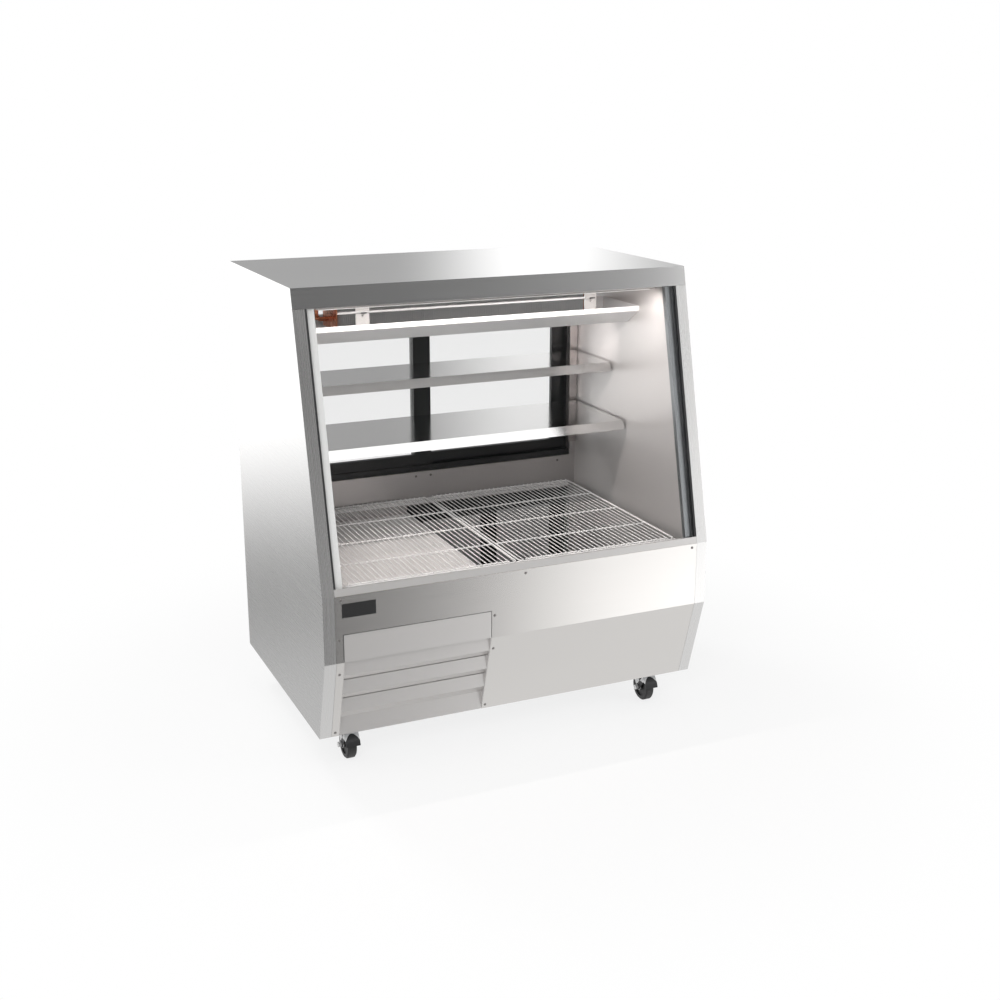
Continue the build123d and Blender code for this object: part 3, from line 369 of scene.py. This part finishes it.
CASTERS = ("front_left", "front_right", "rear_left", "rear_right")
dressing = {
    "side": ["left_end_panel", "right_end_panel"],
    "front": ["front_panel"],
    "grille": ["louvre_grille"],
    "sill": ["front_sill"],
    "post": ["glass_posts"],
    "top": ["top_cap"],
    "inner": ["rear_frame", "service_panel", "light_housing"],
    "pilaster": ["pilasters", "shelf_brackets"],
    "hanger": ["coil_hangers"],
    "shelf": ["upper_shelf", "lower_shelf"],
    "galvanised": ["base_pan", "fan_shroud"],
    "liner": ["liner_panels", "front_liner"],
    "tank": ["tank_liner"],
    "pan": ["drip_pan"],
    "foam": ["foam_insulation"],
    "black": [
        "glass_gaskets",
        "light_switch",
        "thermostat_knob",
        "cord_gland",
        "compressor",
        "fan_motor",
    ],
    "pedal": ["front_left_brake_pedal", "front_right_brake_pedal"],
    "dark": [
        "left_door_frame",
        "right_door_frame",
        "door_tracks",
        "left_storage_door_frame",
        "right_storage_door_frame",
    ],
    "grey": ["left_storage_door_panel", "right_storage_door_panel", "drain_tube"],
    "fins": ["condenser", "evaporator_fins", "fan_blade"],
    "copper": ["refrigerant_lines", "evaporator_end_plates", "evaporator_return_bends"],
    "zinc": ["caster_plates"] + [caster + "_fork" for caster in CASTERS],
    "tyre": [caster + "_wheel" for caster in CASTERS],
    "wire": ["left_wire_rack", "right_wire_rack", "rack_rails"],
    "glass": ["front_glass"],
    "pane": ["left_door_glass", "right_door_glass"],
    "lamp": ["light_tube"],
}
for look, names in dressing.items():
    for name in names:
        mesh = objects[name].data
        mesh.materials.clear()
        mesh.materials.append(materials[look])


# Piece tools


def add_piece(name, build, look, bevel=0.0):
    """Makes one piece that rides on the case, from a function that fills a bmesh."""
    grid = bmesh.new()
    build(grid)
    mesh = bpy.data.meshes.new(name)
    grid.to_mesh(mesh)
    grid.free()
    mesh.materials.append(materials[look])
    piece = bpy.data.objects.new(name, mesh)
    scene.collection.objects.link(piece)
    if bevel:
        soft = piece.modifiers.new("bevel", "BEVEL")
        soft.width = bevel
        soft.segments = 2
    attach(piece, "case")
    return piece


def facing(direction):
    """The turn that brings Z round to the direction."""
    return Vector(direction).to_track_quat("Z", "Y").to_matrix().to_4x4()


def add_box(grid, low, high):
    size = [h - l for l, h in zip(low, high)]
    middle = [(l + h) / 2 for l, h in zip(low, high)]
    place = Matrix.Translation(middle) @ Matrix.Diagonal((*size, 1))
    bmesh.ops.create_cube(grid, size=1.0, matrix=place)


def add_wire(grid, start, end, radius, sides=8):
    start = Vector(start)
    end = Vector(end)
    bmesh.ops.create_cone(
        grid,
        cap_ends=True,
        segments=sides,
        radius1=radius,
        radius2=radius,
        depth=(end - start).length,
        matrix=Matrix.Translation((start + end) / 2) @ facing(end - start),
    )


SCREW_RADIUS = 0.0042
SCREW_SIDES = 16
# Share of the radius and height of each ring, from the washer face to the top
SCREW_RINGS = ((1.0, 0.0), (1.0, 0.0004), (0.82, 0.0008), (0.45, 0.0010))


def add_screw(grid, point, outward):
    """A low head with bevelled sides and a flat top."""
    place = Matrix.Translation(Vector(point)) @ facing(outward)
    rows = []
    for share, height in SCREW_RINGS:
        reach = SCREW_RADIUS * share
        row = []
        for number in range(SCREW_SIDES):
            angle = math.tau * number / SCREW_SIDES
            spot = Vector((reach * math.cos(angle), reach * math.sin(angle), height))
            row.append(grid.verts.new(place @ spot))
        rows.append(row)
    for low, high in zip(rows, rows[1:]):
        for number in range(SCREW_SIDES):
            after = (number + 1) % SCREW_SIDES
            grid.faces.new((low[number], low[after], high[after], high[number]))
    grid.faces.new(rows[-1])


# Wire racks: round wires at their real pitch over a bent frame wire

RACK_THIN = 0.0015
RACK_THICK = 0.0025
RACK_CORNER = 0.024
RACK_CORNER_STEPS = 6
RACK_CROSSINGS = 4
RACK_FRONT_GAP = 0.018
RACK_SIDE_GAP = 0.012
RACK_PITCH = 0.0164
RACK_END_GAP = 0.001


def corner_inset(beside):
    """How far the round corner has drawn in, at this distance from the side."""
    short = max(0, RACK_CORNER - beside)
    return RACK_CORNER - math.sqrt(max(0, RACK_CORNER**2 - short**2))


def rack_outline(x_low, x_high, y_low, y_high, z):
    """Points of the frame wire, round the four corners."""
    path = []
    reach = RACK_CORNER - RACK_THICK
    for x, y, start in (
        (x_high - RACK_CORNER, y_high - RACK_CORNER, 0),
        (x_low + RACK_CORNER, y_high - RACK_CORNER, 90),
        (x_low + RACK_CORNER, y_low + RACK_CORNER, 180),
        (x_high - RACK_CORNER, y_low + RACK_CORNER, 270),
    ):
        for step in range(RACK_CORNER_STEPS + 1):
            angle = math.radians(start + 90 * step / RACK_CORNER_STEPS)
            path.append(Vector((x + reach * math.cos(angle), y + reach * math.sin(angle), z)))
    return path


def build_rack(x_low, x_high):
    def build(grid):
        low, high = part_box("left_wire_rack")
        y_low = low[1]
        y_high = high[1]
        wire_z = high[2] - RACK_THIN
        frame_z = high[2] - 2 * RACK_THIN - RACK_THICK

        def across(y, inset):
            ends = (x_low + inset, y, frame_z), (x_high - inset, y, frame_z)
            add_wire(grid, *ends, RACK_THICK, 10)

        path = rack_outline(x_low, x_high, y_low, y_high, frame_z)
        for first, second in zip(path, path[1:] + path[:1]):
            add_wire(grid, first, second, RACK_THICK, 10)
        for number in range(1, RACK_CROSSINGS):
            across(y_low + (y_high - y_low) * number / RACK_CROSSINGS, RACK_THICK)
        across(y_low + RACK_FRONT_GAP, RACK_CORNER)
        span = x_high - x_low - 2 * RACK_SIDE_GAP
        count = round(span / RACK_PITCH)
        for number in range(count + 1):
            x = x_low + RACK_SIDE_GAP + span * number / count
            inset = max(corner_inset(x - x_low), corner_inset(x_high - x)) + RACK_END_GAP
            add_wire(grid, (x, y_low + inset, wire_z), (x, y_high - inset, wire_z), RACK_THIN)

    return build


for name in ("left_wire_rack", "right_wire_rack"):
    low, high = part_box(name)
    rack = add_piece(name + "_wires", build_rack(low[0], high[0]), "wire")
    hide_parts(name)


# Evaporator: thin fins at a fine pitch, carried on the tube runs

FIN_PITCH = 0.0058
FIN_HALF = 0.0002
FIN_TUBE_RADIUS = 0.005
FIN_TUBE_DEPTHS = (0.25, 0.5, 0.75)
FIN_TUBE_HEIGHTS = (0.25, 0.75)


def build_fins(grid):
    low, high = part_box("evaporator_fins")
    count = int((high[0] - low[0]) / FIN_PITCH) - 1
    start = (low[0] + high[0]) / 2 - FIN_PITCH * (count - 1) / 2
    for number in range(count):
        x = start + FIN_PITCH * number
        add_box(grid, (x - FIN_HALF, low[1], low[2]), (x + FIN_HALF, high[1], high[2]))
    for depth in FIN_TUBE_DEPTHS:
        for height in FIN_TUBE_HEIGHTS:
            y = low[1] + (high[1] - low[1]) * depth
            z = low[2] + (high[2] - low[2]) * height
            add_wire(grid, (low[0], y, z), (high[0], y, z), FIN_TUBE_RADIUS, 12)


fin_pack = add_piece("evaporator_fin_pack", build_fins, "fins")
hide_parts("evaporator_fins")


# A polished tube along the front of the coil, a little above its middle


def build_coil_tube(grid):
    low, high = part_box("evaporator_fins")
    y = low[1] - 0.001
    z = (low[2] + high[2]) / 2 + 0.006
    add_wire(grid, (low[0], y, z), (high[0], y, z), 0.004, 16)


add_piece("coil_front_tube", build_coil_tube, "polished")


# The adjusting slots in the coil hangers, drawn as thin dark boxes: painted shade standing
# for the dark inside of each slot

SLOT_XS = (-0.336, 0.409)
SLOT_HALF = 0.009
SLOT_LOW = 1.2665
SLOT_HIGH = 1.2705


def build_slot_shade(grid):
    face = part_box("coil_hangers")[0][1]
    for x in SLOT_XS:
        low = (x - SLOT_HALF, face - 0.0003, SLOT_LOW)
        add_box(grid, low, (x + SLOT_HALF, face + 0.0005, SLOT_HIGH))


add_piece("hanger_slot_shade", build_slot_shade, "dark")


# Lamp: a lens with an arched underside, set up inside the housing

LENS_STEPS = 8
LENS_DROP = 0.004
LENS_GAP = 0.0005


def build_lens(grid):
    low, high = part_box("light_tube")
    middle = (low[1] + high[1]) / 2
    reach = (high[1] - low[1]) / 2
    rows = []
    for x in (low[0], high[0]):
        row = []
        for step in range(LENS_STEPS + 1):
            angle = math.pi * step / LENS_STEPS
            y = middle - reach * math.cos(angle)
            z = high[2] + LENS_GAP - LENS_DROP * math.sin(angle)
            row.append(grid.verts.new((x, y, z)))
        rows.append(row)
    near, far = rows
    for step in range(LENS_STEPS):
        grid.faces.new((near[step], near[step + 1], far[step + 1], far[step]))
    grid.faces.new((near[-1], near[0], far[0], far[-1]))
    grid.faces.new(near)
    grid.faces.new(list(reversed(far)))


lens = add_piece("lamp_lens", build_lens, "lamp")
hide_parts("light_tube")


# Small fasteners, the bare badge plate and painted shade along the seam round the grille

FRONT_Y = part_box("front_panel")[0][1]
BASE_Z = 0.116
KINK_Z = 0.371
TUCK = 0.0755 / 0.255  # how far the lower front leans back for each unit of height


def front_at(z):
    """The front panel's surface: upright above the kink, leaning back below it."""
    return FRONT_Y + max(0.0, KINK_Z - z) * TUCK


def build_front_screws(grid):
    for x in (-0.564, -0.098):
        for rise in (0.323, 0.216, 0.013):
            z = rise + BASE_Z
            outward = (0, -1, 0) if z > KINK_Z else (0, -1, -TUCK)
            add_screw(grid, (x, front_at(z), z), outward)
    z = 0.438 + BASE_Z
    for x in (-0.557, -0.001, 0.558):
        add_screw(grid, (x, front_at(z), z), (0, -1, 0))


def build_rear_screws(grid):
    inner_y = 0.373
    panel_y = 0.396
    for x in (-0.030, 0.023, -0.5, 0.5):
        add_screw(grid, (x, inner_y, 0.525 + BASE_Z), (0, -1, 0))
    outer_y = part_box("rear_frame")[1][1]
    for x in (-0.578, 0.578):
        for z in (0.20, 0.45, 0.70, 0.95, 1.20):
            add_screw(grid, (x, outer_y, z), (0, 1, 0))
    low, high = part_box("service_panel")
    for x in (low[0] + 0.012, high[0] - 0.012):
        for z in (low[2] + 0.02, high[2] - 0.02):
            add_screw(grid, (x, panel_y, z), (0, 1, 0))


def build_badge(grid):
    add_box(grid, (-0.555, FRONT_Y - 0.0018, 0.5025), (-0.457, FRONT_Y, 0.543))


SEAM_LEFT = -0.5532
SEAM_RIGHT = -0.1082
SEAM_TOP = 0.4526
SEAM_HALF = 0.0008


def build_seam_shade(grid):
    """Painted shade: a dark strip over the hairline gap round the louvre grille, standing for
    the shadow in the gap.
    """
    proud = FRONT_Y - 0.0002
    behind = FRONT_Y + 0.0006
    low = (SEAM_LEFT - SEAM_HALF, proud, SEAM_TOP - SEAM_HALF)
    add_box(grid, low, (SEAM_RIGHT + SEAM_HALF, behind, SEAM_TOP + SEAM_HALF))
    for x in (SEAM_LEFT, SEAM_RIGHT):
        low = (x - SEAM_HALF, proud, KINK_Z + 0.002)
        add_box(grid, low, (x + SEAM_HALF, behind, SEAM_TOP - SEAM_HALF))


add_piece("front_screws", build_front_screws, "screw")
add_piece("rear_screws", build_rear_screws, "screw")
add_piece("bare_badge_plate", build_badge, "dark", 0.0005)
add_piece("grille_seam_shade", build_seam_shade, "dark")


# Stage: a pale floor that whitens away from the case and keeps its shadow

FLOOR_SIZE = 12.0
FADE_START = 0.75
FADE_END = 1.8
FADE_NEAR = 0.78


def build_floor():
    grid = bmesh.new()
    bmesh.ops.create_grid(grid, x_segments=1, y_segments=1, size=FLOOR_SIZE)
    mesh = bpy.data.meshes.new("floor")
    grid.to_mesh(mesh)
    grid.free()
    floor = bpy.data.objects.new("floor", mesh)
    scene.collection.objects.link(floor)
    m = Maker("pale_floor")
    m.set(Base_Color=(0.86, 0.86, 0.86, 1), Roughness=0.9, Specular_IOR_Level=0.0)
    tree = m.tree
    white = tree.nodes.new("ShaderNodeEmission")
    white.inputs["Color"].default_value = (*WHITE, 1)
    path = tree.nodes.new("ShaderNodeLightPath")
    spot = tree.nodes.new("ShaderNodeTexCoord")
    reach = tree.nodes.new("ShaderNodeVectorMath")
    reach.operation = "LENGTH"
    m.link(spot.outputs["Object"], reach.inputs[0])
    fade = add_ramp(tree, reach.outputs["Value"], FADE_START, FADE_END, FADE_NEAR, 1.0, True)
    mix = tree.nodes.new("ShaderNodeMixShader")
    m.link(m.math("MULTIPLY", path.outputs["Is Camera Ray"], fade), mix.inputs[0])
    m.link(m.shader.outputs[0], mix.inputs[1])
    m.link(white.outputs[0], mix.inputs[2])
    m.link(mix.outputs[0], tree.nodes["Material Output"].inputs["Surface"])
    floor.visible_glossy = False
    mesh.materials.append(m.material)


build_floor()


# World: soft surfaces see one even level, the camera sees white, and metal
# reflects a room whose brightness depends on the direction

EVEN_LEVEL = 0.62
CAMERA_LEVEL = 1.0


def build_world():
    world = bpy.data.worlds.new("studio")
    scene.world = world
    world.use_nodes = True
    tree = world.node_tree
    background = tree.nodes["Background"]
    path = tree.nodes.new("ShaderNodeLightPath")
    place = tree.nodes.new("ShaderNodeTexCoord")
    parts = tree.nodes.new("ShaderNodeSeparateXYZ")
    tree.links.new(place.outputs["Generated"], parts.inputs[0])

    def level(source, start, end, low, high):
        return add_ramp(tree, source, start, end, low, high, True)

    def combine(operation, *values):
        return add_math(tree, operation, *values)

    def mix(share, first, second):
        """first where share is 0 and second where it is 1."""
        step = combine("SUBTRACT", second, first)
        return combine("ADD", first, combine("MULTIPLY", share, step))

    # The height of a direction, and its slope from the Y axis
    across = parts.outputs["X"]
    height = parts.outputs["Z"]
    depth = combine("MAXIMUM", combine("ABSOLUTE", parts.outputs["Y"]), 0.02)
    slope = combine("DIVIDE", across, depth)

    # In front: dim on the left, bright on the right, with a pale band at eye level
    sides = level(slope, 0.28, 0.68, 0.17, 0.95)
    rise = level(height, -0.12, 0.06, 0.80, 2.0)
    fall = level(height, 0.09, 0.20, 0.0, 1.58)
    front = combine("MULTIPLY", sides, combine("SUBTRACT", rise, fall))
    # Below the band, then pale towards the floor
    below = level(slope, 0.42, 0.56, 0.14, 2.4)
    front = mix(level(height, -0.17, -0.34, 0.0, 1.0), front, below)
    floor_sides = level(slope, 0.50, 0.80, 0.74, 1.04)
    floor = combine("ADD", floor_sides, level(height, -0.78, -0.90, 0.0, 0.3))
    front = mix(level(height, -0.42, -0.70, 0.0, 1.0), front, floor)
    # Bright overhead, and even on the far left
    front = mix(level(height, 0.40, 0.62, 0.0, 1.0), front, 2.0)
    front = mix(level(slope, 0.10, -0.25, 0.0, 1.0), front, 0.95)

    # Behind: bright on the left, with one soft card on the right
    low_left = level(height, -0.34, -0.41, 0.30, 0.72)
    left = mix(level(height, -0.21, -0.335, 0.0, 1.0), 1.9, low_left)
    card_start = level(slope, 0.36, 0.48, 0.0, 1.3)
    card_end = level(slope, 0.50, 0.62, 0.0, 1.05)
    card = combine("SUBTRACT", card_start, card_end)
    card = combine("MULTIPLY", card, level(height, 0.13, 0.19, 1.0, 0.55))
    right = combine("ADD", card, level(height, 0.13, 0.23, 0.40, 0.60))
    rear = mix(level(across, -0.16, 0.02, 0.0, 1.0), left, right)

    room = mix(level(parts.outputs["Y"], -0.12, 0.12, 0.0, 1.0), front, rear)
    room = mix(path.outputs["Is Diffuse Ray"], room, EVEN_LEVEL)
    room = mix(path.outputs["Is Camera Ray"], room, CAMERA_LEVEL)
    tree.links.new(room, background.inputs["Strength"])
    background.inputs["Color"].default_value = (*WHITE, 1)


build_world()


# Lamps


def add_light(data, place, direction):
    made = bpy.data.objects.new(data.name, data)
    scene.collection.objects.link(made)
    made.location = place
    made.rotation_euler = Vector(direction).to_track_quat("-Z", "Y").to_euler()
    return made


def add_card(name, place, target, size, power, colour=WHITE):
    data = bpy.data.lights.new(name, "AREA")
    data.shape = "RECTANGLE"
    data.size, data.size_y = size
    data.energy = power
    data.color = colour
    return add_light(data, place, Vector(target) - Vector(place))


add_card("key", (-2.0, -3.0, 2.3), (0, 0, 0.8), (1.6, 1.2), 48)
add_card("right_card", (3.0, -2.2, 1.4), (0, 0, 0.6), (1.6, 2.4), 22)
add_card("rear_card", (-1.3, 2.9, 2.95), (0.3, 0, 0.9), (0.9, 0.5), 40)
warm = (1.0, 0.93, 0.90)
tube = add_card("case_lamp", (0, -0.172, 1.302), (0, -0.06, 0.5), (1.06, 0.012), 4.8, warm)
tube.visible_glossy = False
warm = (1.0, 0.95, 0.92)
add_card("coil_fill", (0, -0.18, 1.288), (0, 0.2, 1.25), (1.06, 0.01), 0.14, warm)

# The patch of light on the right inner wall
glow = bpy.data.lights.new("wall_glow", "SPOT")
glow.energy = 5.0
glow.color = (1.0, 0.92, 0.90)
glow.spot_size = math.radians(46)
glow.spot_blend = 1.0
glow.shadow_soft_size = 0.01
add_light(glow, (0.28, -0.02, 1.125), (0.28, 0.22, -0.02))
